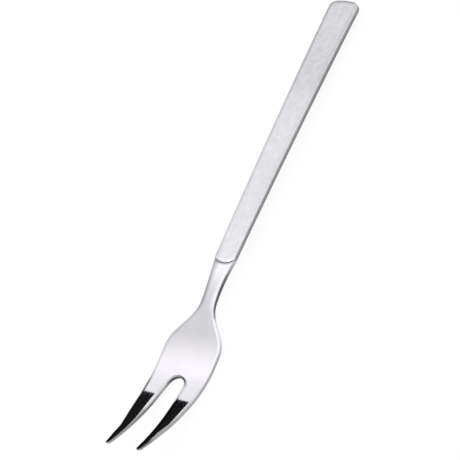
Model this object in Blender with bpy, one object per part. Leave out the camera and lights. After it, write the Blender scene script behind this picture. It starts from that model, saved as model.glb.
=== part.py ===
# Two-tined meat fork with a hollow satin handle, lying on a table as it would beside a plate.
# Metres, +Z up, table top at Z = 0. The length runs along X, tines towards -X and handle towards +X.
# A station is a distance along X from the seam of neck and handle. A reach is the same towards the tines.
import math

import bmesh
import bpy

MM = 0.001

# Lengths from the seam
HANDLE_LENGTH = 120.6 * MM
HEAD_REACH = 80.0 * MM

# Handle, seen from above
HANDLE_FRONT_WIDTH = 9.2 * MM
HANDLE_END_WIDTH = 14.4 * MM
HANDLE_CORNER_RADIUS = 3.7 * MM
HANDLE_END_RADIUS = 36.0 * MM
SEAM_CROWN = 1.65 * MM  # how far the seam bows towards the tines on the top face
SEAM_POWER = 2.4  # power of that bow across the handle, 2 is a parabola
SEAM_BLEND = 12.0 * MM  # length of neck over which that bow fades out

# Handle, seen from the side
HANDLE_FRONT_HEIGHT = 6.5 * MM
HANDLE_END_HEIGHT = 5.0 * MM
HANDLE_BOW = 0.65 * MM  # extra rise of the top face at mid length
HANDLE_SIDE = 1.9 * MM  # top face down to the edge where the back begins
PARTING_DEPTH = 1.4 * MM  # top face down to the parting line of the shells
HANDLE_EDGE_RADIUS = 0.7 * MM
BACK_LIFT = 2.2 * MM  # back above the table at the seam
BACK_BULGE = 0.25  # rounding of the back between side and land, 0 is straight
SHELL_WALL = 0.5 * MM
FIT_GAP = 0.1 * MM

# Flat land along the back, which rests on the table near the end
LAND_LENGTH = 40.0 * MM
LAND_WIDTH = 3.6 * MM
LAND_END_INSET = 4.5 * MM
LAND_CORNER_RADIUS = 1.5 * MM
LAND_END_RADIUS = 12.0 * MM

# Head, seen from above
NECK_WIDTH = 6.5 * MM
NECK_REACH = 15.7 * MM
BOWL_WIDTH = 25.4 * MM
BOWL_REACH = 37.0 * MM
SLOT_REACH = 46.9 * MM
SLOT_RADIUS = 3.5 * MM
TIP_SPACING = 14.0 * MM
TIP_RADIUS = 1.05 * MM
TINE_TAPER = 1.9  # power of the curve of the outer edges, 2 is a parabola

# Head, seen from the side
SEAM_STEP = 0.25 * MM  # the top of the neck lies this much below the handle's
BELLY_REACH = 41.2 * MM
TIP_HEIGHT = 14.0 * MM
TINE_SWEEP = 2.0  # power of the upward curve, 2 is a parabola
NECK_SIDE = 1.8 * MM
WAIST_SIDE = 1.5 * MM
NECK_THICKNESS = 3.4 * MM
PLATE_THICKNESS = 2.0 * MM
TIP_THICKNESS = 1.15 * MM
NECK_EDGE_RADIUS = 0.25 * MM
HEAD_EDGE_RADIUS = 0.8 * MM  # from the root of the tines on
EDGE_LIMIT = 0.4  # largest edge radius, as a share of the side that it rounds

# Inside the handle
SPIGOT_LENGTH = 5.0 * MM
TANG_LENGTH = 50.0 * MM
TANG_WIDTH = 5.2 * MM
TANG_END_WIDTH = 4.0 * MM
TANG_THICKNESS = 1.6 * MM
CEMENT_COVER = 8.0 * MM  # cement behind the end of the tang
BRAZE_WIDTH = 0.5 * MM
BRAZE_RISE = 0.6 * MM  # solder above the parting line
BRAZE_DROP = 0.2 * MM  # solder below it

# Mesh density
SIDE_STEPS = 22
CORNER_STEPS = 5
END_STEPS = 4
BACK_STEPS = 5
EDGE_STEPS = 3
NECK_STEPS = 24
BELLY_STEPS = 3
ROOT_STEPS = 6
TINE_STEPS = 12
TIP_STEPS = 4
HEAD_COLUMNS = 4
CEMENT_STEPS = 8
SLOPE_STEP = 0.01 * MM
WELD_DIGITS = 8
SHARP_ANGLE = math.radians(35)

HALF_FRONT = HANDLE_FRONT_WIDTH / 2
HALF_END = HANDLE_END_WIDTH / 2
LINING = SHELL_WALL + FIT_GAP  # from the outside of the handle to what it holds
CENTRE_STATION = (HANDLE_LENGTH - HEAD_REACH) / 2
LAND_STATION = HANDLE_LENGTH - LAND_END_INSET - LAND_LENGTH
SLOT_CENTRE = SLOT_REACH + SLOT_RADIUS
TIP_CENTRE = HEAD_REACH - TIP_RADIUS
TIP_Y = TIP_SPACING / 2


def lerp(a, b, share):
    return a + (b - a) * share


def clamp(value):
    return min(max(value, 0.0), 1.0)


def smooth(share):
    t = clamp(share)
    return t * t * (3 - 2 * t)


def ease(share):
    t = clamp(share)
    return t ** 3 * (t * (6 * t - 15) + 10)


# Heights and widths along the handle


def handle_top(station):
    share = station / HANDLE_LENGTH
    bow = 4 * HANDLE_BOW * share * (1 - share)
    return lerp(HANDLE_FRONT_HEIGHT, HANDLE_END_HEIGHT, share) + bow


def parting_line(station):
    return handle_top(station) - PARTING_DEPTH


def side_foot(station):
    return handle_top(station) - HANDLE_SIDE


def handle_back(station):
    return BACK_LIFT * clamp(1 - station / LAND_STATION)


def handle_half_width(station):
    return lerp(HALF_FRONT, HALF_END, station / HANDLE_LENGTH)


def seam_bow(station, y, z):
    blend = SPIGOT_LENGTH if station > 0 else SEAM_BLEND
    fade = clamp(1 - abs(station) / blend) ** 2
    rise = smooth((z - BACK_LIFT) / (HANDLE_FRONT_HEIGHT - SEAM_STEP - BACK_LIFT))
    return -SEAM_CROWN * fade * rise * clamp(1 - abs(y / HALF_FRONT) ** SEAM_POWER)


# Heights and widths along the head: each section is half width, top, side height and thickness


def head_half_width(reach):
    waist = NECK_WIDTH / 2
    bowl = BOWL_WIDTH / 2
    if reach < NECK_REACH:
        return waist + (HALF_FRONT - waist) * (1 - reach / NECK_REACH) ** 2
    if reach < BOWL_REACH:
        return lerp(waist, bowl, ease((reach - NECK_REACH) / (BOWL_REACH - NECK_REACH)))
    share = (reach - BOWL_REACH) / (TIP_CENTRE - BOWL_REACH)
    return lerp(bowl, TIP_Y + TIP_RADIUS, share ** TINE_TAPER)


def head_top(reach):
    seam = HANDLE_FRONT_HEIGHT - SEAM_STEP
    if reach < BELLY_REACH:
        return lerp(seam, PLATE_THICKNESS, smooth(reach / BELLY_REACH))
    share = (reach - BELLY_REACH) / (HEAD_REACH - BELLY_REACH)
    return lerp(PLATE_THICKNESS, TIP_HEIGHT, share ** TINE_SWEEP)


def head_section(reach):
    side = lerp(NECK_SIDE, WAIST_SIDE, smooth(reach / NECK_REACH))
    side = lerp(side, PLATE_THICKNESS, smooth((reach - NECK_REACH) / (BOWL_REACH - NECK_REACH)))
    thickness = lerp(NECK_THICKNESS, PLATE_THICKNESS, smooth(reach / BOWL_REACH))
    if reach > SLOT_REACH:
        along_tine = (reach - SLOT_REACH) / (HEAD_REACH - SLOT_REACH)
        thickness = lerp(PLATE_THICKNESS, TIP_THICKNESS, along_tine ** 2)
        side = thickness
    return head_half_width(reach), head_top(reach), side, thickness


def spigot_section(reach):
    top = HANDLE_FRONT_HEIGHT - LINING
    thickness = top - BACK_LIFT - LINING
    return HALF_FRONT - LINING, top, HANDLE_SIDE - 2 * LINING, thickness


def tang_half_width(station):
    return lerp(TANG_WIDTH, TANG_END_WIDTH, station / TANG_LENGTH) / 2


def tang_middle():
    return (HANDLE_FRONT_HEIGHT + BACK_LIFT) / 2


def tang_section(reach):
    top = tang_middle() + TANG_THICKNESS / 2
    return tang_half_width(-reach), top, TANG_THICKNESS, TANG_THICKNESS


# A mesh under construction, in which equal points share one vertex


class Skin:
    def __init__(self):
        self.mesh = bmesh.new()
        self.known = {}

    def point(self, station, y, z):
        key = tuple(round(value, WELD_DIGITS) for value in (station, y, z))
        if key not in self.known:
            self.known[key] = self.mesh.verts.new((station + seam_bow(station, y, z), y, z))
        return self.known[key]

    def face(self, *corners):
        loop = list(dict.fromkeys(corners))
        if len(loop) > 2:
            self.mesh.faces.new(loop)

    def strip(self, row, other):
        for i in range(len(row) - 1):
            self.face(row[i], row[i + 1], other[i + 1], other[i])

    def tube(self, rings):
        for ring, other in zip(rings, rings[1:]):
            self.strip(ring + ring[:1], other + other[:1])

    def finish(self, name, material, parent):
        bmesh.ops.recalc_face_normals(self.mesh, faces=self.mesh.faces)
        data = bpy.data.meshes.new(name)
        self.mesh.to_mesh(data)
        self.mesh.free()
        data.materials.append(material)
        data.shade_smooth()
        data.set_sharp_from_angle(angle=SHARP_ANGLE)
        part = bpy.data.objects.new(name, data)
        part.parent = parent
        bpy.context.collection.objects.link(part)
        return part


def make_material(name, colour, metallic, roughness):
    material = bpy.data.materials.new(name)
    material.use_nodes = True
    shader = material.node_tree.nodes["Principled BSDF"]
    shader.inputs["Base Color"].default_value = (*colour, 1.0)
    shader.inputs["Metallic"].default_value = metallic
    shader.inputs["Roughness"].default_value = roughness
    return material


# Plan outlines of the handle: points are station, y and the inward normal


def half_outline(start, length, front_half, end_half, corner_radius, end_radius):
    slope = (end_half - front_half) / HANDLE_LENGTH
    stretch = math.hypot(1, slope)
    end_centre = length - end_radius
    base = front_half + slope * end_centre - corner_radius * stretch
    root = math.sqrt((stretch * (end_radius - corner_radius)) ** 2 - base ** 2)
    ahead = (root - base * slope) / stretch ** 2
    corner_x = end_centre + ahead
    corner_y = base + slope * ahead
    side_angle = math.atan2(1, -slope)
    end_angle = math.atan2(corner_y, ahead)
    side_end = corner_x + corner_radius * math.cos(side_angle)
    points = []
    for i in range(SIDE_STEPS):
        station = lerp(start, side_end, i / SIDE_STEPS)
        points.append((station, front_half + slope * station, slope / stretch, -1 / stretch))
    for i in range(CORNER_STEPS):
        angle = lerp(side_angle, end_angle, i / CORNER_STEPS)
        points.append(arc_point(corner_x, corner_y, corner_radius, angle))
    for i in range(END_STEPS + 1):
        angle = lerp(end_angle, 0, i / END_STEPS)
        points.append(arc_point(end_centre, 0, end_radius, angle))
    return points


def arc_point(x, y, radius, angle):
    cos, sin = math.cos(angle), math.sin(angle)
    return x + radius * cos, y + radius * sin, -cos, -sin


def full_outline(half):
    other = [(station, -y, nx, -ny) for station, y, nx, ny in reversed(half[:-1])]
    return half + other


def handle_outline(start=0.0):
    return full_outline(half_outline(
        start, HANDLE_LENGTH, HALF_FRONT, HALF_END, HANDLE_CORNER_RADIUS, HANDLE_END_RADIUS))


def land_outline():
    half = LAND_WIDTH / 2
    return full_outline(half_outline(
        0.0, HANDLE_LENGTH - LAND_END_INSET, half, half, LAND_CORNER_RADIUS, LAND_END_RADIUS))


def inset(point, distance):
    station, y, nx, ny = point
    return station + nx * distance, y + ny * distance


# Handle shells: loops round the sides and the end, open at the seam, and a flat that closes them


def fill_flat(skin, loop, height):
    rows = SIDE_STEPS + CORNER_STEPS
    columns = 2 * END_STEPS
    bow = loop[rows + END_STEPS][0] - loop[rows][0]
    lines = []
    for i in range(rows):
        station, y = loop[i]
        row_bow = bow * clamp((i - SIDE_STEPS) / CORNER_STEPS) ** 2
        line = []
        for j in range(columns + 1):
            side = 1 - 2 * j / columns
            x = station + row_bow * (1 - side ** 2)
            line.append(skin.point(x, y * side, height(x)))
        lines.append(line)
    lines.append([skin.point(x, y, height(x)) for x, y in loop[rows:rows + columns + 1]])
    for line, other in zip(lines, lines[1:]):
        skin.strip(line, other)


def shell(name, loops, flat_loop, height, up, material, parent):
    skin = Skin()
    rows = [[skin.point(*point) for point in loop] for loop in loops]
    for row, other in zip(rows, rows[1:]):
        skin.strip(row, other)
    fill_flat(skin, flat_loop, height)
    part = skin.finish(name, material, parent)
    if part.data.polygons[-1].normal.z * up < 0:
        part.data.flip_normals()
    wall = part.modifiers.new("wall", "SOLIDIFY")
    wall.thickness = SHELL_WALL
    wall.offset = -1
    wall.use_even_offset = True
    return part


def upper_shell(material, parent):
    outline = handle_outline()
    loops = [[(p[0], p[1], parting_line(p[0])) for p in outline]]
    for i in range(EDGE_STEPS + 1):
        angle = math.pi / 2 * i / EDGE_STEPS
        depth = HANDLE_EDGE_RADIUS * (1 - math.cos(angle))
        drop = HANDLE_EDGE_RADIUS * (1 - math.sin(angle))
        plan = [inset(p, depth) for p in outline]
        loops.append([(x, y, handle_top(x) - drop) for x, y in plan])
    return shell("handle_upper_shell", loops, plan, handle_top, 1, material, parent)


def lower_shell(material, parent):
    outline = handle_outline()
    rim = [(p[0], p[1], side_foot(p[0])) for p in outline]
    land = [(p[0], p[1], handle_back(p[0])) for p in land_outline()]
    loops = [[(p[0], p[1], parting_line(p[0]) - FIT_GAP) for p in outline]]
    for i in range(BACK_STEPS + 1):
        inward = i / BACK_STEPS
        down = inward * (1 + BACK_BULGE * (1 - inward))
        loops.append([
            (lerp(a[0], b[0], inward), lerp(a[1], b[1], inward), lerp(a[2], b[2], down))
            for a, b in zip(rim, land)])
    flat = [(x, y) for x, y, z in land]
    return shell("handle_lower_shell", loops, flat, handle_back, -1, material, parent)


# Solder fillet along the inside of the parting line, from behind the spigot round the end


def seam_braze(material, parent):
    skin = Skin()
    near = LINING + FIT_GAP
    far = near + BRAZE_WIDTH
    corners = ((near, BRAZE_RISE), (far, BRAZE_RISE), (far, -BRAZE_DROP), (near, -BRAZE_DROP))
    rings = []
    for p in handle_outline(SPIGOT_LENGTH + FIT_GAP):
        ring = []
        for depth, rise in corners:
            x, y = inset(p, depth)
            ring.append(skin.point(x, y, parting_line(x) + rise))
        rings.append(ring)
    skin.tube(rings)
    skin.face(*rings[0])
    skin.face(*rings[-1])
    return skin.finish("seam_braze", material, parent)


# Cement plug round the tang, a block with a blind pocket that opens towards the spigot


def cement_ring(skin, station):
    half = handle_half_width(station) - LINING - BRAZE_WIDTH - 3 * FIT_GAP
    top = handle_top(station) - LINING
    bottom = handle_back(station) + LINING + FIT_GAP
    foot = min(LAND_WIDTH / 2 - LINING, half)
    shelf = side_foot(station)
    corners = ((half, top), (half, shelf), (foot, bottom), (-foot, bottom), (-half, shelf), (-half, top))
    return [skin.point(station, y, z) for y, z in corners]


def pocket_ring(skin, station):
    half = tang_half_width(min(station, TANG_LENGTH)) + FIT_GAP
    middle = tang_middle()
    rise = TANG_THICKNESS / 2 + FIT_GAP
    corners = ((half, rise), (half, 0.0), (half, -rise), (-half, -rise), (-half, 0.0), (-half, rise))
    return [skin.point(station, y, middle + z) for y, z in corners]


def tang_cement(material, parent):
    skin = Skin()
    start = SPIGOT_LENGTH + FIT_GAP
    pocket_end = TANG_LENGTH + FIT_GAP
    end = TANG_LENGTH + CEMENT_COVER
    outside = [cement_ring(skin, lerp(start, end, i / CEMENT_STEPS)) for i in range(CEMENT_STEPS + 1)]
    pocket = [pocket_ring(skin, start), pocket_ring(skin, pocket_end)]
    skin.tube(outside)
    skin.tube(pocket)
    skin.tube([outside[0], pocket[0]])
    skin.face(*outside[-1])
    skin.face(*pocket[-1])
    return skin.finish("tang_cement", material, parent)


# Fork head: ribs across the plate, each with an inner and an outer plan point of reach, y and inward normal


def outer_point(reach):
    slope = (head_half_width(reach + SLOPE_STEP) - head_half_width(reach)) / SLOPE_STEP
    stretch = math.hypot(1, slope)
    return reach, head_half_width(reach), slope / stretch, -1 / stretch


def body_ribs():
    ribs = [(tang_section, plain_pair(tang_section, -TANG_LENGTH))]
    ribs.append((tang_section, plain_pair(tang_section, -SPIGOT_LENGTH)))
    ribs.append((spigot_section, plain_pair(spigot_section, -SPIGOT_LENGTH)))
    ribs.append((spigot_section, plain_pair(spigot_section, FIT_GAP)))
    reaches = [lerp(FIT_GAP, BELLY_REACH, i / NECK_STEPS) for i in range(NECK_STEPS)]
    belly_end = SLOT_REACH - 2 * HEAD_EDGE_RADIUS
    reaches += [lerp(BELLY_REACH, belly_end, i / BELLY_STEPS) for i in range(BELLY_STEPS + 1)]
    for reach in reaches:
        ribs.append((head_section, ((reach, 0.0, 0.0, 0.0), outer_point(reach))))
    return ribs


def plain_pair(section, reach):
    return (reach, 0.0, 0.0, 0.0), (reach, section(reach)[0], 0.0, -1.0)


def tine_ribs():
    inner_tip_y = TIP_Y - TIP_RADIUS
    ahead = TIP_CENTRE - SLOT_CENTRE
    to_tip = math.atan2(inner_tip_y, ahead)
    flare = to_tip + math.acos(SLOT_RADIUS / math.hypot(inner_tip_y, ahead))
    root_x = SLOT_CENTRE + SLOT_RADIUS * math.cos(flare)
    root_y = SLOT_RADIUS * math.sin(flare)
    pairs = []
    for i in range(ROOT_STEPS):
        angle = lerp(math.pi, flare, i / ROOT_STEPS)
        cos, sin = math.cos(angle), math.sin(angle)
        inner = (SLOT_CENTRE + SLOT_RADIUS * cos, SLOT_RADIUS * sin, cos, sin)
        pairs.append((inner, outer_point(lerp(SLOT_REACH, root_x, i / ROOT_STEPS))))
    for i in range(TINE_STEPS + 1):
        reach = lerp(root_x, TIP_CENTRE, i / TINE_STEPS)
        y = lerp(root_y, inner_tip_y, i / TINE_STEPS)
        pairs.append(((reach, y, math.cos(flare), math.sin(flare)), outer_point(reach)))
    for i in range(1, TIP_STEPS + 1):
        angle = math.pi / 2 * i / TIP_STEPS
        cos, sin = math.cos(angle), math.sin(angle)
        reach = TIP_CENTRE + TIP_RADIUS * sin
        inner = (reach, TIP_Y - TIP_RADIUS * cos, -sin, cos)
        outer = (reach, TIP_Y + TIP_RADIUS * cos, -sin, -cos)
        pairs.append((inner, outer))
    return [(head_section, pair) for pair in pairs]


def head_point(skin, reach, hand, y, z):
    return skin.point(-reach, hand * y, z)


def underside(section, reach, y):
    half, top, side, thickness = section(reach)
    return top - side - (thickness - side) * (1 - (y / half) ** 2)


def edge_radius(section, reach):
    to_tines = smooth((reach - NECK_REACH) / (SLOT_REACH - NECK_REACH))
    return min(lerp(NECK_EDGE_RADIUS, HEAD_EDGE_RADIUS, to_tines), EDGE_LIMIT * section(reach)[2])


def edge_line(skin, section, plan_point, hand):
    side = section(plan_point[0])[2]
    radius = edge_radius(section, plan_point[0])
    round_in = radius * (1 - math.sqrt(0.5))
    profile = ((round_in, round_in), (0.0, radius), (0.0, side - radius), (round_in, side - round_in))
    line = []
    for depth, drop in profile:
        reach, y = inset(plan_point, depth)
        line.append(head_point(skin, reach, hand, y, section(reach)[1] - drop))
    return line


def face_lines(skin, section, pair, hand):
    start_x, start_y = inset(pair[0], edge_radius(section, pair[0][0]))
    end_x, end_y = inset(pair[1], edge_radius(section, pair[1][0]))
    top, bottom = [], []
    for i in range(HEAD_COLUMNS + 1):
        reach = lerp(start_x, end_x, i / HEAD_COLUMNS)
        y = lerp(start_y, end_y, i / HEAD_COLUMNS)
        top.append(head_point(skin, reach, hand, y, section(reach)[1]))
        bottom.append(head_point(skin, reach, hand, y, underside(section, reach, y)))
    return top, bottom


def fork_head(material, parent):
    skin = Skin()
    body = body_ribs()
    tines = tine_ribs()
    end_loop = []
    for hand in (1, -1):
        outside, slot = [], []
        for section, pair in body + tines:
            top, bottom = face_lines(skin, section, pair, hand)
            outside.append(top + edge_line(skin, section, pair[1], hand) + bottom[::-1])
        for section, pair in tines:
            top, bottom = face_lines(skin, section, pair, hand)
            slot.append(top[:1] + edge_line(skin, section, pair[0], hand) + bottom[:1])
        for lines in (outside, slot):
            for line, other in zip(lines, lines[1:]):
                skin.strip(line, other)
        end_loop += outside[0][::hand]
    skin.face(*end_loop)
    return skin.finish("fork_head", material, parent)


def build():
    for item in list(bpy.data.objects):
        bpy.data.objects.remove(item)
    fork = bpy.data.objects.new("meat_fork", None)
    fork.location.x = -CENTRE_STATION
    bpy.context.collection.objects.link(fork)
    satin = make_material("satin_steel", (0.66, 0.66, 0.69), 1.0, 0.38)
    polished = make_material("polished_steel", (0.76, 0.76, 0.78), 1.0, 0.08)
    solder = make_material("silver_solder", (0.70, 0.68, 0.62), 1.0, 0.30)
    cement = make_material("handle_cement", (0.42, 0.39, 0.34), 0.0, 0.85)
    fork_head(polished, fork)
    upper_shell(satin, fork)
    lower_shell(satin, fork)
    seam_braze(solder, fork)
    tang_cement(cement, fork)


build()
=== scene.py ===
import math
import bmesh
import bpy
from mathutils import Matrix, Vector


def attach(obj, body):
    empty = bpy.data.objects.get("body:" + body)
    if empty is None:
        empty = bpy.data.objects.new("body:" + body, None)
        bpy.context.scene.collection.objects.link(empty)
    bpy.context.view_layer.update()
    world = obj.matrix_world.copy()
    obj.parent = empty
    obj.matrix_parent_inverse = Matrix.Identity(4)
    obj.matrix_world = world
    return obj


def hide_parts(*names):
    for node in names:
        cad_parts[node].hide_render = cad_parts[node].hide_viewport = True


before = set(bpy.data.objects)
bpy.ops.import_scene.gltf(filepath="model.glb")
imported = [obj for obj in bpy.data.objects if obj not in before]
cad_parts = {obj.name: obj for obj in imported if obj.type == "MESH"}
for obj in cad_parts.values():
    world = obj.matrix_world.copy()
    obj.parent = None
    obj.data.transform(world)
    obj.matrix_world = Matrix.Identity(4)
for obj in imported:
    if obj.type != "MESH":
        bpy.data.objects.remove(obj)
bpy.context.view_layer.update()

mm = 0.001
seamX = -20.3  # the seam of neck and handle in the frame, in mm
print("frame:", sorted(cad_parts))


def lerp(a, b, share):
    return a + (b - a) * share


def clamp(value):
    return min(max(value, 0.0), 1.0)


# two soft steps from 0 to 1, the second with softer ends
def smooth(share):
    t = clamp(share)
    return t * t * (3 - 2 * t)


def ease(share):
    t = clamp(share)
    return t ** 3 * (t * (6 * t - 15) + 10)


# a value that runs through (place, value) stops with soft turns
def along(stops, place):
    if place <= stops[0][0]:
        return stops[0][1]
    for (x0, v0), (x1, v1) in zip(stops, stops[1:]):
        if place <= x1:
            return lerp(v0, v1, smooth((place - x0) / (x1 - x0)))
    return stops[-1][1]


# the seam bows towards the tines on the top face, and what lies near it bows along
seamBow = {
    "crown": 1.65, "power": 2.4, "skew": 0.12, "neckBlend": 12.0, "handleBlend": 5.0, "half": 4.6,
    "low": 2.2, "high": 6.25,
}
endLean = {"slope": 0.11, "start": 108.0, "blend": 8.0}


def bowAt(station, y, z):
    blend = seamBow["handleBlend"] if station > 0 else seamBow["neckBlend"]
    fade = clamp(1 - abs(station) / blend) ** 2
    rise = smooth((z - seamBow["low"]) / (seamBow["high"] - seamBow["low"]))
    swing = clamp(1 - abs(y / seamBow["half"]) ** seamBow["power"])
    return fade * rise * swing * (seamBow["skew"] * y - seamBow["crown"])


# the end of the handle is not quite square to it
def leanAt(station, y):
    return endLean["slope"] * y * smooth((station - endLean["start"]) / endLean["blend"])


weldDigits = 5  # points that agree to so many digits are one vertex


# points in mm (station from the seam, across, up, and a painted shade or highlight tone) become welded
# vertices
class Metal:
    def __init__(self, name):
        self.name = name
        self.mesh = bmesh.new()
        self.shade = self.mesh.verts.layers.float.new("paintedReflectionTone")
        self.known = {}

    def point(self, station, y, z, shade=1.0):
        key = tuple(round(value, weldDigits) for value in (station, y, z))
        if key not in self.known:
            x = seamX + station + bowAt(station, y, z) + leanAt(station, y)
            vert = self.mesh.verts.new((x * mm, y * mm, z * mm))
            vert[self.shade] = shade
            self.known[key] = vert
        return self.known[key]

    def face(self, *corners):
        loop = list(dict.fromkeys(corners))
        if len(loop) > 2:
            self.mesh.faces.new(loop)

    def strip(self, row, other):
        for i in range(len(row) - 1):
            self.face(row[i], row[i + 1], other[i + 1], other[i])

    def finish(self):
        bmesh.ops.recalc_face_normals(self.mesh, faces=self.mesh.faces)
        data = bpy.data.meshes.new(self.name)
        self.mesh.to_mesh(data)
        self.mesh.free()
        data.shade_smooth()
        piece = bpy.data.objects.new(self.name, data)
        bpy.context.collection.objects.link(piece)
        return piece


# moves a point of an outline (station, across and its inward normal)
def inset(point, distance):
    station, y, nx, ny = point
    return station + nx * distance, y + ny * distance


# the forged head: tines, bowl and neck, with the spigot and the tang inside the handle
# lengths in mm, a reach is counted from the seam towards the tips
head = {
    "reach": 80.0, "seamHalf": 4.6, "seamTop": 6.25, "seamGap": 0.1, "lip": 0.2,
    "waist": 6.5, "waistReach": 15.7, "bowl": 25.4, "bowlReach": 37.0,
    "slotReach": 46.9, "slotRadius": 3.5, "tipSpacing": 14.0, "tipRadius": 1.05, "taper": 1.9,
    "bellyReach": 41.2, "tipTop": 14.0, "sweep": 2.0,
    "neckSide": 1.8, "waistSide": 1.5, "neckThick": 3.4, "plate": 2.0, "tipThick": 1.15,
    "slotShift": 0.35, "slotFarFade": 10.0, "slotNearFade": 16.0,
    "slotBulge": 0.3, "slotTilt": 0.25, "slotBulgeLength": 5.0, "rootMargin": 1.6,
    "edge": 0.8, "neckEdge": 0.25, "edgeLimit": 0.4, "farTurn": 5.0, "farLift": 1.4,
    "support": 0.1, "bandLimit": 0.7, "bandSplit": 0.45, "bandTone": 0.2,
    "crown": 0.18, "crownEnd": 30.0, "sharp": 50.0, "endShade": 0.42,
    "spigotHalf": 4.05, "spigotTop": 5.9, "spigotSide": 0.7, "spigotThick": 3.1, "spigotLength": 5.0,
    "tangHalf": 2.6, "tangEndHalf": 2.0, "tangTop": 5.15, "tangThick": 1.6, "tangLength": 50.0,
}
headRows = {"lip": 5, "body": 84, "root": 18, "tine": 44, "tip": 8, "columns": 6, "edge": 5}
# painted reflection and shade tones, standing in for mirrored surroundings, by reach: on the walls
nearShade = [
    (0.0, 0.6), (3.0, 0.42), (5.5, 0.27), (8.0, 0.15), (11.0, 0.11), (16.0, 0.1), (19.5, 0.14),
    (22.0, 0.24), (24.5, 0.84), (28.0, 0.88), (31.0, 0.74), (34.0, 0.6), (37.5, 0.4), (42.0, 0.38),
    (50.0, 0.42), (80.0, 0.42)]
farShade = [(0.0, 0.8), (44.0, 0.8), (48.5, 0.4), (52.0, 0.12), (80.0, 0.1)]
slotShade = [
    (46.9, 0.04), (48.0, 0.06), (49.0, 0.12), (50.0, 0.25), (51.0, 0.38), (52.5, 0.5), (55.0, 0.38),
    (57.5, 0.28), (60.0, 0.18), (65.0, 0.24), (67.5, 0.33), (71.0, 0.42), (80.0, 0.46)]
# along the outer edges and each tine's edge at the slot
nearEdge = [
    (0.0, 1.0), (4.0, 1.0), (8.0, 0.65), (12.0, 0.5), (15.5, 0.55), (18.5, 1.0), (46.0, 1.0),
    (50.0, 0.88), (55.0, 0.82), (58.0, 0.68), (62.0, 0.66), (67.0, 0.42), (73.0, 0.38), (76.5, 0.16),
    (80.0, 0.12)]
farEdge = [
    (0.0, 0.72), (14.0, 0.72), (20.0, 0.75), (30.0, 0.76), (34.0, 0.8), (38.0, 0.86), (42.0, 0.94),
    (44.0, 0.88), (46.3, 0.72), (48.2, 0.55), (50.0, 0.33), (52.0, 0.14), (80.0, 0.1)]
nearSlotEdge = [
    (46.9, 0.5), (47.2, 0.3), (47.8, 0.2), (48.6, 0.28), (49.5, 0.45), (50.4, 0.65), (51.5, 0.75),
    (54.0, 0.8), (55.5, 0.75), (57.0, 0.35), (58.2, 0.15), (59.0, 0.1), (80.0, 0.1)]
farSlotEdge = [
    (46.9, 0.52), (47.6, 0.6), (48.5, 0.8), (50.0, 0.82), (54.0, 0.85), (60.5, 0.95), (64.0, 0.56),
    (67.5, 0.36), (80.0, 0.35)]
# on the top face, and how wide the edges' tones fade out on it, in mm
topShade = [
    (0.0, 1.0), (3.0, 1.0), (5.3, 1.05), (8.0, 1.04), (10.5, 1.0), (15.5, 1.0), (18.0, 0.99), (25.0, 0.97),
    (29.0, 0.945), (33.0, 0.975), (39.5, 0.957), (43.5, 1.005), (45.3, 1.01), (48.2, 0.905), (52.0, 0.865),
    (80.0, 0.86)]
slotBand = [(46.0, 0.1), (46.6, 0.5), (47.6, 0.9), (50.5, 1.4)]
farBand = [(0.0, 3.2), (16.0, 3.0), (24.0, 2.0), (40.0, 1.6), (46.0, 1.0)]
# painted shade of a groove along the seam, deepest a little towards the far side
groove = {
    "rows": [0.45, 0.6, 0.75, 0.9, 1.1, 1.3], "start": 0.8, "soft": 0.5,
    "tones": [(-1.0, 0.7), (-0.7, 0.62), (-0.3, 0.54), (0.2, 0.4), (0.6, 0.45), (0.85, 0.85), (1.0, 0.95)],
}
# by reach, in mm: how much fuller the outer edges are than the plain curve, and how much shorter
# the near tine is
farSwell = [
    (46.0, 0.0), (54.0, 0.27), (60.0, 0.45), (64.5, 0.42), (68.0, 0.1), (71.0, -0.25), (73.0, -0.05),
    (75.0, 0.1), (78.0, 0.0)]
nearSwell = [(38.0, 0.0), (46.0, 0.24), (55.0, 0.26), (61.0, 0.0)]
nearShort = [(73.0, 0.0), (79.0, 0.2)]
# by reach: how much wider than deep the edges that face the near side are rounded, how late a rounding
# takes the wall's painted tone, and how far it is flattened to a bevel
slotWide = [(50.0, 1.0), (54.0, 1.9), (64.0, 2.1), (68.0, 1.7), (72.0, 1.2), (76.0, 1.0)]
nearWide = [
    (15.0, 1.0), (20.0, 2.0), (25.0, 2.8), (28.0, 2.8), (33.0, 2.0), (38.0, 1.0), (52.0, 1.0), (56.0, 1.4),
    (66.0, 1.5), (69.5, 2.0), (72.5, 3.2), (74.6, 1.9), (76.0, 1.0)]
slotTurn = [(46.9, 2.0), (48.5, 2.5), (51.0, 5.0)]
nearTurn = [(14.0, 5.0), (20.0, 4.0), (26.0, 12.0), (40.0, 12.0), (52.0, 5.0)]
nearBevel = [(67.0, 0.0), (70.5, 0.6), (74.0, 0.6), (76.0, 0.0)]
slotCentre = head["slotReach"] + head["slotRadius"]
tipCentre = head["reach"] - head["tipRadius"]
tipY = head["tipSpacing"] / 2


def between(reach, start, end):
    return (reach - head[start]) / (head[end] - head[start])


def headHalf(reach):
    waist, bowl = head["waist"] / 2, head["bowl"] / 2
    if reach < head["waistReach"]:
        return waist + (head["seamHalf"] - waist) * (1 - reach / head["waistReach"]) ** 2
    if reach < head["bowlReach"]:
        return lerp(waist, bowl, ease(between(reach, "waistReach", "bowlReach")))
    share = (reach - head["bowlReach"]) / (tipCentre - head["bowlReach"])
    return lerp(bowl, tipY + head["tipRadius"], share ** head["taper"])


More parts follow.
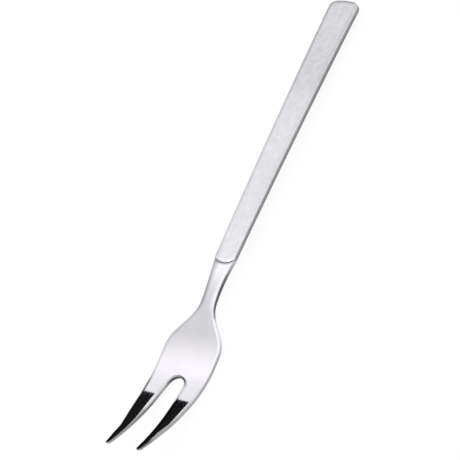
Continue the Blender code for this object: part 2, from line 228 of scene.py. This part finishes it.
def headTop(reach, y):
    if reach < head["bellyReach"]:
        top = lerp(head["seamTop"], head["plate"], smooth(reach / head["bellyReach"]))
    else:
        share = between(reach, "bellyReach", "reach")
        top = lerp(head["plate"], head["tipTop"], share ** head["sweep"])
    crown = head["crown"] * (1 - smooth(between(reach, "waistReach", "crownEnd")))
    turn = clamp((head["seamGap"] + head["lip"] - reach) / head["lip"])
    top -= head["lip"] * (1 - math.sqrt(1 - turn ** 2))  # the neck's end is rounded at the seam
    return top - crown * (y / headHalf(reach)) ** 2


# the height of the wall and the thickness along the middle
def headSides(reach):
    side = lerp(head["neckSide"], head["waistSide"], smooth(reach / head["waistReach"]))
    side = lerp(side, head["plate"], smooth(between(reach, "waistReach", "bowlReach")))
    thick = lerp(head["neckThick"], head["plate"], smooth(reach / head["bowlReach"]))
    if reach > head["slotReach"]:
        thick = lerp(head["plate"], head["tipThick"], between(reach, "slotReach", "reach") ** 2)
        side = thick
    return side, thick


def headUnder(reach, y):
    side, thick = headSides(reach)
    under = headTop(reach, headHalf(reach)) - side
    return under - (thick - side) * (1 - (y / headHalf(reach)) ** 2)


def edgeRadius(reach):
    radius = lerp(head["neckEdge"], head["edge"], smooth(between(reach, "waistReach", "slotReach")))
    return min(radius, head["edgeLimit"] * headSides(reach)[0])


def outerPoint(reach):
    step = 0.01
    slope = (headHalf(reach + step) - headHalf(reach)) / step
    stretch = math.hypot(1, slope)
    return reach, headHalf(reach), slope / stretch, -1 / stretch


# the outer edges of the two sides aren't quite alike
def swollen(point, hand):
    reach, y, nx, ny = point
    if hand > 0:
        return reach, y + along(farSwell, reach), nx, ny
    return reach - along(nearShort, reach), y + along(nearSwell, reach), nx, ny


# the slot's root sits a little to the near side, and is fuller there
def slotSide(point, hand):
    reach, y, nx, ny = point
    past = reach - head["slotReach"]
    shift = head["slotShift"] * (1 - smooth(past / head["slotFarFade" if hand > 0 else "slotNearFade"]))
    if hand > 0:
        return reach, y - shift, nx, ny
    bulge = math.sin(math.pi * math.sqrt(clamp(past / head["slotBulgeLength"])))
    reach += head["slotTilt"] * bulge - along(nearShort, reach)
    return reach, y + shift + head["slotBulge"] * bulge, nx, ny


# plan points of a tine's two edges, side by side: round the slot's root, along the tine and round its tip
def tinePairs():
    innerTip = tipY - head["tipRadius"]
    ahead = tipCentre - slotCentre
    flare = math.atan2(innerTip, ahead) + math.acos(head["slotRadius"] / math.hypot(innerTip, ahead))
    rootX = slotCentre + head["slotRadius"] * math.cos(flare)
    rootY = head["slotRadius"] * math.sin(flare)
    pairs = []
    for i in range(headRows["root"]):
        angle = lerp(math.pi, flare, i / headRows["root"])
        cos, sin = math.cos(angle), math.sin(angle)
        inner = (slotCentre + head["slotRadius"] * cos, head["slotRadius"] * sin, cos, sin)
        pairs.append((inner, outerPoint(lerp(head["slotReach"], rootX, i / headRows["root"]))))
    for i in range(headRows["tine"] + 1):
        share = i / headRows["tine"]
        x, y = lerp(rootX, tipCentre, share), lerp(rootY, innerTip, share)
        pairs.append(((x, y, math.cos(flare), math.sin(flare)), outerPoint(x)))
    for i in range(1, headRows["tip"] + 1):
        angle = math.pi / 2 * i / headRows["tip"]
        cos, sin = math.cos(angle) * head["tipRadius"], math.sin(angle) * head["tipRadius"]
        nx, ny = -math.sin(angle), math.cos(angle)
        pairs.append(((tipCentre + sin, tipY - cos, nx, ny), (tipCentre + sin, tipY + cos, nx, -ny)))
    return pairs


# one edge from the top face round the wall to the underside, with a painted tone that runs from start to
# wall
def headEdge(metal, planPoint, hand, start, wall, wide, power, bevel):
    reach, y = planPoint[:2]
    side, radius = headSides(reach)[0], edgeRadius(reach)
    turns = [math.pi / 2 * i / headRows["edge"] for i in range(1, headRows["edge"] + 1)]
    profile = [
        (wide * radius * (1 - math.sin(a)), radius * lerp(1 - math.cos(a), math.sin(a), bevel),
         math.sin(a) ** (power / wide)) for a in turns]
    profile += [(inward, side - drop, 1.0) for inward, drop, turn in reversed(profile)]
    line = []
    for inward, drop, turn in profile:
        x, across = inset(planPoint, inward)
        z = headTop(x, min(across, y)) - drop
        line.append(metal.point(-x, hand * across, z, lerp(start, wall, turn)))
    return line


def paintedGrooveShade(reach, across):
    depth = 1 - smooth((reach - groove["start"]) / groove["soft"])
    return lerp(1.0, along(groove["tones"], across), depth)


# tones and wides are those of the inner and the outer edge; the painted tones fade over the bands beside
# them
def headFaces(metal, pair, hand, slotted, tones, wides):
    startX, startY = inset(pair[0], wides[0] * edgeRadius(pair[0][0]) if slotted else 0.0)
    endX, endY = inset(pair[1], wides[1] * edgeRadius(pair[1][0]))
    width = max(math.hypot(endX - startX, endY - startY), head["support"])
    bands = (along(slotBand, startX), head["support"])
    if hand > 0:
        bands = (head["support"], along(farBand, endX))
    inner, outer = (min(band / width, head["bandLimit"]) for band in bands)
    split, count = head["bandSplit"], headRows["columns"]
    shares = [0.0, inner * split, inner] + [lerp(inner, 1 - outer, i / count) for i in range(1, count)]
    shares += [1 - outer, 1 - outer * split, 1.0]
    fades = [tones[0], lerp(tones[0], 1.0, head["bandTone"])] + [1.0] * (count + 1)
    fades += [lerp(tones[1], 1.0, head["bandTone"]), tones[1]]
    top, under = [], []
    for share, fade in zip(shares, fades):
        x, y = lerp(startX, endX, share), lerp(startY, endY, share)
        shade = fade * along(topShade, x) * paintedGrooveShade(x, hand * y / headHalf(x))
        top.append(metal.point(-x, hand * y, headTop(x, y), shade))
        under.append(metal.point(-x, hand * y, headUnder(x, y)))
    return top, under


# a ring of the parts inside the handle, with a rounded underside
def plainRing(metal, station, half, top, thick, crown):
    columns = [1.0, 0.5, 0.0, -0.5, -1.0]
    upper = [metal.point(station, half * c, top) for c in columns]
    lower = [metal.point(station, half * c, top - thick + crown * c * c) for c in reversed(columns)]
    return upper + lower


# as tinePairs, from the seam to near the slot's root, with the middle line in place of the inner edge
def bodyPairs():
    count, start = headRows["lip"], head["seamGap"] + head["lip"]
    reaches = [start - head["lip"] * math.cos(math.pi / 2 * i / count) for i in range(count + 1)]
    reaches += groove["rows"]
    first, last = groove["rows"][-1], head["slotReach"] - head["rootMargin"]
    count = headRows["body"]
    reaches += [lerp(first, last, i / count) for i in range(1, count + 1)]
    return [((reach, 0.0, 0.0, 0.0), outerPoint(reach)) for reach in reaches]


def makeHead():
    metal = Metal("forkHead")
    body, tines = bodyPairs(), tinePairs()
    seamLoop = []
    for hand in (1, -1):
        outside, slot = [], []
        for i, pair in enumerate(body + tines):
            slotted = i >= len(body)
            pair = (slotSide(pair[0], hand) if slotted else pair[0], swollen(pair[1], hand))
            root, reach = pair[0][0], pair[1][0]
            wides = (along(slotWide, root), 1.0) if hand > 0 else (1.0, along(nearWide, reach))
            inner = along(farSlotEdge if hand > 0 else nearSlotEdge, root) if slotted else 1.0
            outer = along(farEdge if hand > 0 else nearEdge, reach)
            top, under = headFaces(metal, pair, hand, slotted, (inner, outer), wides)
            outer *= paintedGrooveShade(reach, hand)
            wall = along(farShade if hand > 0 else nearShade, reach)
            power, bevel = along(nearTurn, reach), along(nearBevel, reach)
            # on the far side the edge's rounding gets a lighter painted tone
            if hand > 0:
                outer = min(1.0, outer * head["farLift"])
                power, bevel = head["farTurn"], 0.0
            edge = headEdge(metal, pair[1], hand, outer, wall, wides[1], power, bevel)
            outside.append(top + edge + under[::-1])
            if slotted:
                wall, power = along(slotShade, root), along(slotTurn, root)
                edge = headEdge(metal, pair[0], hand, inner, wall, wides[0], power, 0.0)
                slot.append(top[:1] + edge + under[:1])
        for lines in (outside, slot):
            for line, other in zip(lines, lines[1:]):
                metal.strip(line, other)
        seamLoop.append(outside[0])
    # the seam's end face, then the spigot and the tang inside the handle
    ring = list(dict.fromkeys(seamLoop[0] + seamLoop[1][::-1]))
    # the seam's end face gets a painted shade
    for vert in ring:
        vert[metal.shade] = head["endShade"]
    spigot = [
        plainRing(metal, station, head["spigotHalf"], head["spigotTop"], head["spigotThick"],
                  head["spigotThick"] - head["spigotSide"])
        for station in (-head["seamGap"], head["spigotLength"])]
    tangEnds = (head["spigotLength"], head["tangHalf"]), (head["tangLength"], head["tangEndHalf"])
    tang = [
        plainRing(metal, station, half, head["tangTop"], head["tangThick"], 0.0)
        for station, half in tangEnds]
    rings = spigot + tang
    for loop, other in zip(rings, rings[1:]):
        metal.strip(loop + loop[:1], other + other[:1])
    metal.face(*tang[1])
    edges = []
    for loop in (ring, spigot[0]):
        for a, b in zip(loop, loop[1:] + loop[:1]):
            edges.append(metal.mesh.edges.get((a, b)) or metal.mesh.edges.new((a, b)))
    bmesh.ops.bridge_loops(metal.mesh, edges=edges)
    piece = metal.finish()
    piece.data.set_sharp_from_angle(angle=math.radians(head["sharp"]))
    return piece


# the handle: two pressed shells, lengths in mm
handle = {
    "length": 120.6, "frontHalf": 4.6, "endHalf": 7.2, "corner": 3.7, "endRadius": 36.0,
    "frontTop": 6.5, "endTop": 5.0, "bow": 0.65, "side": 1.9, "parting": 1.4, "gap": 0.1,
    "edge": 0.55, "lip": 0.3, "lipSide": 0.35, "wall": 0.5, "sharp": 60.0,
    "backLift": 2.2, "bulge": 0.25, "landLength": 40.0, "landHalf": 1.8, "landInset": 4.5,
    "landCorner": 1.5, "landEnd": 12.0, "rimShade": 0.6, "backBlend": 6.0,
    "rim": [0.3, 0.5, 0.7, 0.9, 1.1, 1.4],
}
handleRows = {"lip": 5, "side": 110, "corner": 14, "end": 10, "edge": 6, "back": 14, "wall": 3}
# painted shade and highlight tones, standing in for mirrored surroundings, of the sides and of the top face
# beside its
# rounding (by inset): far side in front and behind, near side in front and behind, then of the front rim by
# station and across (a painted highlight, and the painted shade of the seam's groove), of the far side near
# it and of the whole length
sideTones = (0.32, 0.32, 0.38, 0.31)
shoulder = [
    (0.0, 0.82, 0.8, 1.0, 0.78), (0.3, 0.84, 0.7, 1.0, 0.84), (0.6, 0.93, 0.72, 1.0, 0.88),
    (1.0, 1.0, 0.85, 1.0, 0.93), (1.4, 1.03, 1.02, 1.0, 0.96), (2.0, 1.0, 1.0, 1.0, 1.0)]
rimPaintedHighlight = [(0.0, 1.15), (0.7, 1.15), (1.1, 1.0)]
rimPaintedShade = [(-1.0, 0.7), (-0.3, 0.5), (0.2, 0.4), (0.6, 0.42), (1.0, 0.55)]
farRimPaintedShade = [(0.0, 0.82), (3.0, 0.9), (8.0, 1.0)]
lengthPaintedTone = [
    (0.0, 1.07), (12.0, 1.03), (35.0, 1.005), (50.0, 1.03), (70.0, 1.035), (80.0, 0.965), (86.0, 0.97),
    (98.0, 1.03), (110.0, 1.1), (120.0, 1.115)]
landStation = handle["length"] - handle["landInset"] - handle["landLength"]


def handleTop(station):
    share = station / handle["length"]
    bow = 4 * handle["bow"] * share * (1 - share)  # all of it at half length
    return lerp(handle["frontTop"], handle["endTop"], share) + bow


def handleBack(station):
    return handle["backLift"] * clamp(1 - station / landStation)


# a painted highlight at the front rim times a painted tone along the length
def stationTone(station):
    return along(rimPaintedHighlight, station) * along(lengthPaintedTone, station)


# the front edge of both shells is turned in a little
def lipTurn(station):
    turn = clamp((handle["lip"] - station) / handle["lip"])
    return handle["lip"] * (1 - math.sqrt(1 - turn ** 2))


def arcPoint(x, y, radius, angle):
    cos, sin = math.cos(angle), math.sin(angle)
    return x + radius * cos, y + radius * sin, -cos, -sin


# tapering sides, two round corners and a wide arc at the end, from the far front to the near front
def handleOutline(length, frontHalf, endHalf, corner, endRadius):
    slope = (endHalf - frontHalf) / handle["length"]
    stretch = math.hypot(1, slope)
    endCentre = length - endRadius
    base = frontHalf + slope * endCentre - corner * stretch
    root = math.sqrt((stretch * (endRadius - corner)) ** 2 - base ** 2)
    ahead = (root - base * slope) / stretch ** 2
    cornerX, cornerY = endCentre + ahead, base + slope * ahead
    sideAngle, endAngle = math.atan2(1, -slope), math.atan2(cornerY, ahead)
    sideEnd = cornerX + corner * math.cos(sideAngle)
    count = handleRows["lip"]
    stations = [handle["lip"] * (1 - math.cos(math.pi / 2 * i / count)) for i in range(count)]
    count = handleRows["side"]
    stations += handle["rim"][:-1] + [lerp(handle["rim"][-1], sideEnd, i / count) for i in range(count)]
    half = [(s, frontHalf + slope * s, slope / stretch, -1 / stretch) for s in stations]
    count = handleRows["corner"]
    half += [arcPoint(cornerX, cornerY, corner, lerp(sideAngle, endAngle, i / count)) for i in range(count)]
    count = handleRows["end"]
    half += [arcPoint(endCentre, 0, endRadius, lerp(endAngle, 0, i / count)) for i in range(count + 1)]
    return half + [(s, -y, nx, -ny) for s, y, nx, ny in reversed(half[:-1])]


# closes a shell with a flat inside its last loop
def fillFlat(metal, loop, height):
    sides = handleRows["lip"] + len(handle["rim"]) - 1 + handleRows["side"]
    rows = sides + handleRows["corner"]
    columns = 2 * handleRows["end"]
    bow = loop[rows + handleRows["end"]][0] - loop[rows][0]
    lines = []
    for i in range(rows):
        station, y = loop[i]
        rowBow = bow * clamp((i - sides) / handleRows["corner"]) ** 2
        line = []
        for j in range(columns + 1):
            side = 1 - 2 * j / columns
            x = station + rowBow * (1 - side ** 2)
            # a painted highlight along the front rim, and on the first row the painted shade of the seam's
            # groove
            shade = stationTone(station) if i else along(rimPaintedShade, side)
            line.append(metal.point(x, y * side, height(x), shade))
        lines.append(line)
    lines.append([metal.point(x, y, height(x), stationTone(x)) for x, y in loop[rows:rows + columns + 1]])
    for line, other in zip(lines, lines[1:]):
        metal.strip(line, other)


def shellPiece(metal, loops, flat, height, up):
    rows = [[metal.point(*point) for point in loop] for loop in loops]
    for row, other in zip(rows, rows[1:]):
        metal.strip(row, other)
    fillFlat(metal, flat, height)
    piece = metal.finish()
    if piece.data.polygons[-1].normal.z * up < 0:  # the flat's last face has to look outwards
        piece.data.flip_normals()
    wall = piece.modifiers.new("wall", "SOLIDIFY")
    wall.thickness = handle["wall"] * mm
    wall.offset = -1
    wall.use_even_offset = True
    piece.data.set_sharp_from_angle(angle=math.radians(handle["sharp"]))
    return piece


# one loop round the handle, with painted shade and highlight tones as in the shoulder rows
def sideLoop(outline, inward, height, tones):
    loop = []
    for i, point in enumerate(outline):
        x, y = inset(point, inward + lipTurn(point[0]) * handle["lipSide"])
        share = clamp(x / handle["length"])
        far, near = lerp(*tones[:2], share) * along(farRimPaintedShade, x), lerp(*tones[2:], share)
        shade = lerp(far, near, clamp(point[3])) * stationTone(x)
        # the first and last point of each loop, at the front rim, get a painted shade
        if i == 0 or i == len(outline) - 1:
            shade = handle["rimShade"]
        loop.append((x, y, height(x), shade))
    return loop


def outerOutline():
    return handleOutline(handle["length"], handle["frontHalf"], handle["endHalf"],
                         handle["corner"], handle["endRadius"])


def makeTopShell():
    metal = Metal("handleTopShell")
    outline = outerOutline()
    loops = []
    for i in range(handleRows["wall"]):
        drop = lerp(handle["parting"], handle["edge"], i / handleRows["wall"])
        loops.append(sideLoop(outline, 0.0, lambda x: handleTop(x) - drop, sideTones))
    edgeTones = shoulder[0][1:]
    for i in range(handleRows["edge"]):
        angle = math.pi / 2 * i / handleRows["edge"]
        inward = handle["edge"] * (1 - math.cos(angle))
        drop = handle["edge"] * (1 - math.sin(angle))
        tones = [lerp(side, tone, math.sqrt(math.sin(angle))) for side, tone in zip(sideTones, edgeTones)]
        loops.append(sideLoop(outline, inward, lambda x: handleTop(x) - drop - lipTurn(x), tones))
    for inward, *tones in shoulder:
        loops.append(sideLoop(outline, handle["edge"] + inward, lambda x: handleTop(x) - lipTurn(x), tones))
    flat = [(p[0], p[1]) for p in loops[-1]]
    return shellPiece(metal, loops, flat, lambda x: handleTop(x) - lipTurn(x), 1)


def makeBackShell():
    metal = Metal("handleBackShell")
    outline = outerOutline()
    landOutline = handleOutline(handle["length"] - handle["landInset"], handle["landHalf"],
                                handle["landHalf"], handle["landCorner"], handle["landEnd"])
    parting = handle["parting"] + handle["gap"]
    loops = [sideLoop(outline, 0.0, lambda x: handleTop(x) - parting, sideTones)]
    rim = sideLoop(outline, 0.0, lambda x: handleTop(x) - handle["side"], sideTones)
    land = [(p[0], p[1], handleBack(p[0])) for p in landOutline]
    for i in range(handleRows["back"] + 1):
        inward = i / handleRows["back"]
        down = inward * (1 + handle["bulge"] * (1 - inward))
        # the sides' painted tone fades out within the first rows of the back
        fade = smooth(inward * handle["backBlend"])
        loops.append([
            (lerp(a[0], b[0], inward), lerp(a[1], b[1], inward), lerp(a[2], b[2], down),
             lerp(a[3], 1.0, fade)) for a, b in zip(rim, land)])
    flat = [(x, y) for x, y, z in land]
    return shellPiece(metal, loops, flat, handleBack, -1)


headPiece = makeHead()
topShell = makeTopShell()
backShell = makeBackShell()
print("pieces:", [(p.name, len(p.data.polygons)) for p in (headPiece, topShell, backShell)])


def addNode(tree, kind, **values):
    node = tree.nodes.new(kind)
    for key, value in values.items():
        setattr(node, key, value)
    return node


grainScales = ("Across", "Along", "Cloud")
grainDetail = {"lines": 4.0, "clouds": 3.0}
grainSpan = (0.3, 0.7)  # the noise's usual range


# brush lines along the fork and soft clouds, both about 0.5
def makeGrain():
    group = bpy.data.node_groups.new("brushGrain", "ShaderNodeTree")
    for name in grainScales:
        group.interface.new_socket(name, in_out="INPUT", socket_type="NodeSocketFloat")
    for name in ("Lines", "Clouds"):
        group.interface.new_socket(name, in_out="OUTPUT", socket_type="NodeSocketFloat")
    link = group.links.new
    entry = addNode(group, "NodeGroupInput")
    leave = addNode(group, "NodeGroupOutput")
    place = addNode(group, "ShaderNodeTexCoord")
    scale = addNode(group, "ShaderNodeCombineXYZ")
    link(entry.outputs["Along"], scale.inputs[0])
    link(entry.outputs["Across"], scale.inputs[1])
    link(entry.outputs["Across"], scale.inputs[2])
    stretch = addNode(group, "ShaderNodeVectorMath", operation="MULTIPLY")
    link(place.outputs["Object"], stretch.inputs[0])
    link(scale.outputs[0], stretch.inputs[1])
    lines = addNode(group, "ShaderNodeTexNoise")
    lines.inputs["Scale"].default_value = 1.0
    lines.inputs["Detail"].default_value = grainDetail["lines"]
    link(stretch.outputs[0], lines.inputs["Vector"])
    clouds = addNode(group, "ShaderNodeTexNoise")
    clouds.inputs["Detail"].default_value = grainDetail["clouds"]
    link(place.outputs["Object"], clouds.inputs["Vector"])
    link(entry.outputs["Cloud"], clouds.inputs["Scale"])
    link(lines.outputs["Fac"], leave.inputs["Lines"])
    link(clouds.outputs["Fac"], leave.inputs["Clouds"])
    return group


grain = makeGrain()


def steel(name, look):
    material = bpy.data.materials.new(name)
    material.use_nodes = True
    tree = material.node_tree
    link = tree.links.new
    shader = tree.nodes["Principled BSDF"]
    shader.inputs["Metallic"].default_value = look["metal"]
    brush = addNode(tree, "ShaderNodeGroup", node_tree=grain)
    for key in grainScales:
        brush.inputs[key].default_value = look[key]
    mixed = addNode(tree, "ShaderNodeMix", data_type="FLOAT")
    mixed.inputs["Factor"].default_value = look["cloudShare"]
    link(brush.outputs["Lines"], mixed.inputs["A"])
    link(brush.outputs["Clouds"], mixed.inputs["B"])
    tone = addNode(tree, "ShaderNodeMapRange")
    tone.inputs["From Min"].default_value, tone.inputs["From Max"].default_value = grainSpan
    link(mixed.outputs["Result"], tone.inputs["Value"])
    colour = addNode(tree, "ShaderNodeMix", data_type="RGBA")
    colour.inputs["A"].default_value = (*look["dark"], 1.0)
    colour.inputs["B"].default_value = (*look["light"], 1.0)
    link(tone.outputs["Result"], colour.inputs["Factor"])
    rough = addNode(tree, "ShaderNodeMapRange")
    rough.inputs["To Min"].default_value, rough.inputs["To Max"].default_value = look["rough"]
    link(tone.outputs["Result"], rough.inputs["Value"])
    link(rough.outputs["Result"], shader.inputs["Roughness"])
    surface = colour.outputs["Result"]
    if look["edges"]:  # painted reflections and shade: the vertex tone darkens walls and edges and lightens some rims
        edge = addNode(tree, "ShaderNodeAttribute", attribute_name="paintedReflectionTone")
        paintedLight = addNode(tree, "ShaderNodeMix", data_type="RGBA", blend_type="MULTIPLY")
        paintedLight.inputs["Factor"].default_value = 1.0
        link(surface, paintedLight.inputs["A"])
        link(edge.outputs["Fac"], paintedLight.inputs["B"])
        surface = paintedLight.outputs["Result"]
    link(surface, shader.inputs["Base Color"])
    if look["bump"] > 0:
        bump = addNode(tree, "ShaderNodeBump")
        bump.inputs["Strength"].default_value = look["bump"]
        bump.inputs["Distance"].default_value = look["depth"]
        link(mixed.outputs["Result"], bump.inputs["Height"])
        link(bump.outputs["Normal"], shader.inputs["Normal"])
    return material


polishedLook = {
    "metal": 1.0, "Across": 2500.0, "Along": 120.0, "Cloud": 160.0, "cloudShare": 0.6,
    "dark": (0.856, 0.84, 0.884), "light": (0.906, 0.888, 0.935), "rough": (0.03, 0.06),
    "edges": True, "bump": 0.0, "depth": 0.0,
}
satinLook = {
    "metal": 1.0, "Across": 1500.0, "Along": 110.0, "Cloud": 380.0, "cloudShare": 0.55,
    "dark": (0.675, 0.67, 0.708), "light": (0.855, 0.85, 0.888), "rough": (0.26, 0.34),
    "edges": True, "bump": 0.06, "depth": 0.00004,
}
solderLook = {
    "metal": 1.0, "Across": 900.0, "Along": 900.0, "Cloud": 500.0, "cloudShare": 0.5,
    "dark": (0.52, 0.49, 0.42), "light": (0.74, 0.72, 0.66), "rough": (0.25, 0.5),
    "edges": False, "bump": 0.2, "depth": 0.0001,
}
cementLook = {
    "metal": 0.0, "Across": 1500.0, "Along": 1500.0, "Cloud": 700.0, "cloudShare": 0.5,
    "dark": (0.30, 0.27, 0.23), "light": (0.50, 0.46, 0.40), "rough": (0.75, 0.95),
    "edges": False, "bump": 0.4, "depth": 0.0002,
}
polished = steel("polishedSteel", polishedLook)
satin = steel("satinSteel", satinLook)
solder = steel("silverSolder", solderLook)
cement = steel("handleCement", cementLook)

for piece, node, finish, slot in (
        (headPiece, "fork_head", polished, "polished_steel"),
        (topShell, "handle_upper_shell", satin, "satin_steel"),
        (backShell, "handle_lower_shell", satin, "satin_steel")):
    piece.data.materials.append(finish)
    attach(piece, "root")
    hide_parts(node)
for node, finish in (("seam_braze", solder), ("tang_cement", cement)):
    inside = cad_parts[node]
    inside.data.materials.clear()
    inside.data.materials.append(finish)
print("finishes done")

# a pale floor, one soft lamp, and a dark card that the upswept tines mirror
studio = {
    "floor": 4.0, "floorDrop": 0.1, "floorWhite": 0.97, "floorGlow": 0.9,
    "lampHeight": 1.3, "lampSize": 1.4, "lampPower": 4.0,
    "cardDistance": 3.0, "cardAzimuth": 45.0, "cardTop": 33.22, "cardRight": 22.0, "cardLeft": 8.5,
    "cardTone": 0.012,
}
# the room's light by direction: open above, greyer behind the fork in two soft patches and low down
# in front
room = {
    "open": 1.09, "behind": (0.2, 0.45),
    "patch": 0.34, "patchLeft": (-0.25, -0.05), "patchRight": (0.28, 0.07), "patchTop": (0.88, 0.79),
    "low": 0.35, "lowLeft": (-0.5, -0.3), "lowRight": (0.42, 0.3), "lowTop": (0.72, 0.58),
    "lowFoot": (0.02, 0.12),
    "front": 0.45, "frontSide": (0.25, -0.1), "frontTop": (0.6, 0.25), "frontFoot": (0.02, 0.12),
}


def stagePlane(name, corners, material):
    data = bpy.data.meshes.new(name)
    data.from_pydata(corners, [], [tuple(range(len(corners)))])
    plane = bpy.data.objects.new(name, data)
    bpy.context.collection.objects.link(plane)
    data.materials.append(material)
    return plane


def mattMaterial(name, tone):
    material = bpy.data.materials.new(name)
    material.use_nodes = True
    shader = material.node_tree.nodes["Principled BSDF"]
    shader.inputs["Base Color"].default_value = (tone, tone, tone, 1.0)
    shader.inputs["Roughness"].default_value = 1.0
    shader.inputs["Specular IOR Level"].default_value = 0.0
    return material


def makeFloor():
    material = mattMaterial("paleFloor", studio["floorWhite"])
    tree = material.node_tree
    link = tree.links.new
    path = addNode(tree, "ShaderNodeLightPath")
    seen = path.outputs["Is Camera Ray"]
    for ray in ("Is Glossy Ray", "Is Transmission Ray"):
        either = addNode(tree, "ShaderNodeMath", operation="MAXIMUM")
        link(seen, either.inputs[0])
        link(path.outputs[ray], either.inputs[1])
        seen = either.outputs[0]
    share = addNode(tree, "ShaderNodeMath", operation="MULTIPLY")
    link(seen, share.inputs[0])
    share.inputs[1].default_value = studio["floorGlow"]
    mix = addNode(tree, "ShaderNodeMixShader")
    link(share.outputs[0], mix.inputs["Fac"])
    link(tree.nodes["Principled BSDF"].outputs[0], mix.inputs[1])
    link(addNode(tree, "ShaderNodeEmission").outputs[0], mix.inputs[2])
    link(mix.outputs[0], tree.nodes["Material Output"].inputs["Surface"])
    half, low = studio["floor"], -studio["floorDrop"] * mm
    corners = [(-half, -half, low), (half, -half, low), (half, half, low), (-half, half, low)]
    stagePlane("paleFloor", corners, material)


def makeCard():
    azimuth = math.radians(studio["cardAzimuth"])
    distance = studio["cardDistance"]
    middle = Vector((math.cos(azimuth), math.sin(azimuth), 0.0)) * distance
    across = Vector((-math.sin(azimuth), math.cos(azimuth), 0.0)) * distance
    left = middle + across * math.tan(math.radians(studio["cardLeft"]))
    right = middle - across * math.tan(math.radians(studio["cardRight"]))
    rise = Vector((0.0, 0.0, distance * math.tan(math.radians(studio["cardTop"]))))
    corners = [left, right, right + rise, left + rise]
    card = stagePlane("darkCard", [tuple(c) for c in corners], mattMaterial("darkCard", studio["cardTone"]))
    card.visible_camera = False
    card.visible_diffuse = False
    card.visible_shadow = False


def makeLamp():
    data = bpy.data.lights.new("softbox", "AREA")
    data.size = studio["lampSize"]
    data.energy = studio["lampPower"]
    lamp = bpy.data.objects.new("softbox", data)
    lamp.location = (0.0, 0.0, studio["lampHeight"])
    lamp.visible_glossy = False
    bpy.context.collection.objects.link(lamp)


def makeRoom():
    world = bpy.data.worlds.new("paleStudio")
    bpy.context.scene.world = world
    world.use_nodes = True
    tree = world.node_tree
    link = tree.links.new
    place = addNode(tree, "ShaderNodeTexCoord")
    split = addNode(tree, "ShaderNodeSeparateXYZ")
    link(place.outputs["Generated"], split.inputs[0])

    def ramp(axis, span):
        node = addNode(tree, "ShaderNodeMapRange", interpolation_type="SMOOTHSTEP")
        node.inputs["From Min"].default_value, node.inputs["From Max"].default_value = span
        link(split.outputs[axis], node.inputs["Value"])
        return node.outputs["Result"]

    def product(parts, depth):
        total = parts[0]
        for part in parts[1:]:
            node = addNode(tree, "ShaderNodeMath", operation="MULTIPLY")
            link(total, node.inputs[0])
            link(part, node.inputs[1])
            total = node.outputs[0]
        node = addNode(tree, "ShaderNodeMath", operation="MULTIPLY")
        link(total, node.inputs[0])
        node.inputs[1].default_value = depth
        return node.outputs[0]

    behind = ramp("Y", room["behind"])
    patch = product([behind, ramp("X", room["patchLeft"]), ramp("X", room["patchRight"]),
                     ramp("Z", room["patchTop"])], room["patch"])
    low = product([behind, ramp("X", room["lowLeft"]), ramp("X", room["lowRight"]),
                   ramp("Z", room["lowTop"]), ramp("Z", room["lowFoot"])], room["low"])
    front = product([ramp("Y", room["frontSide"]), ramp("Z", room["frontTop"]),
                     ramp("Z", room["frontFoot"])], room["front"])
    level = addNode(tree, "ShaderNodeValue")
    level.outputs[0].default_value = room["open"]
    light = level.outputs[0]
    for shadow in (patch, low, front):
        node = addNode(tree, "ShaderNodeMath", operation="SUBTRACT")
        link(light, node.inputs[0])
        link(shadow, node.inputs[1])
        light = node.outputs[0]
    link(light, tree.nodes["Background"].inputs["Color"])


makeFloor()
makeCard()
makeLamp()
makeRoom()
print("studio done")

# the camera at the photograph's angle, for a square picture, in mm and degrees
shot = {
    "target": (-7.259, 5.188, 4.147), "distance": 554.9, "azimuth": -30.972, "elevation": 43.533,
    "roll": -42.656, "lens": 117.391, "clip": 10.0,
}


def makeCamera():
    a, e, r = (math.radians(shot[key]) for key in ("azimuth", "elevation", "roll"))
    forward = Vector((-math.sin(a) * math.cos(e), math.cos(a) * math.cos(e), -math.sin(e)))
    level = Vector((math.cos(a), math.sin(a), 0.0))
    right = level * math.cos(r) + level.cross(forward) * math.sin(r)
    up = right.cross(forward)
    data = bpy.data.cameras.new("photoCamera")
    data.lens = shot["lens"]
    data.clip_start = shot["clip"] * mm
    camera = bpy.data.objects.new("photoCamera", data)
    bpy.context.collection.objects.link(camera)
    spot = (Vector(shot["target"]) - forward * shot["distance"]) * mm
    turn = Matrix((right, up, -forward)).transposed().to_4x4()
    camera.matrix_world = Matrix.Translation(spot) @ turn
    bpy.context.scene.camera = camera


makeCamera()
bpy.context.scene.view_settings.view_transform = "Standard"
print("camera done")
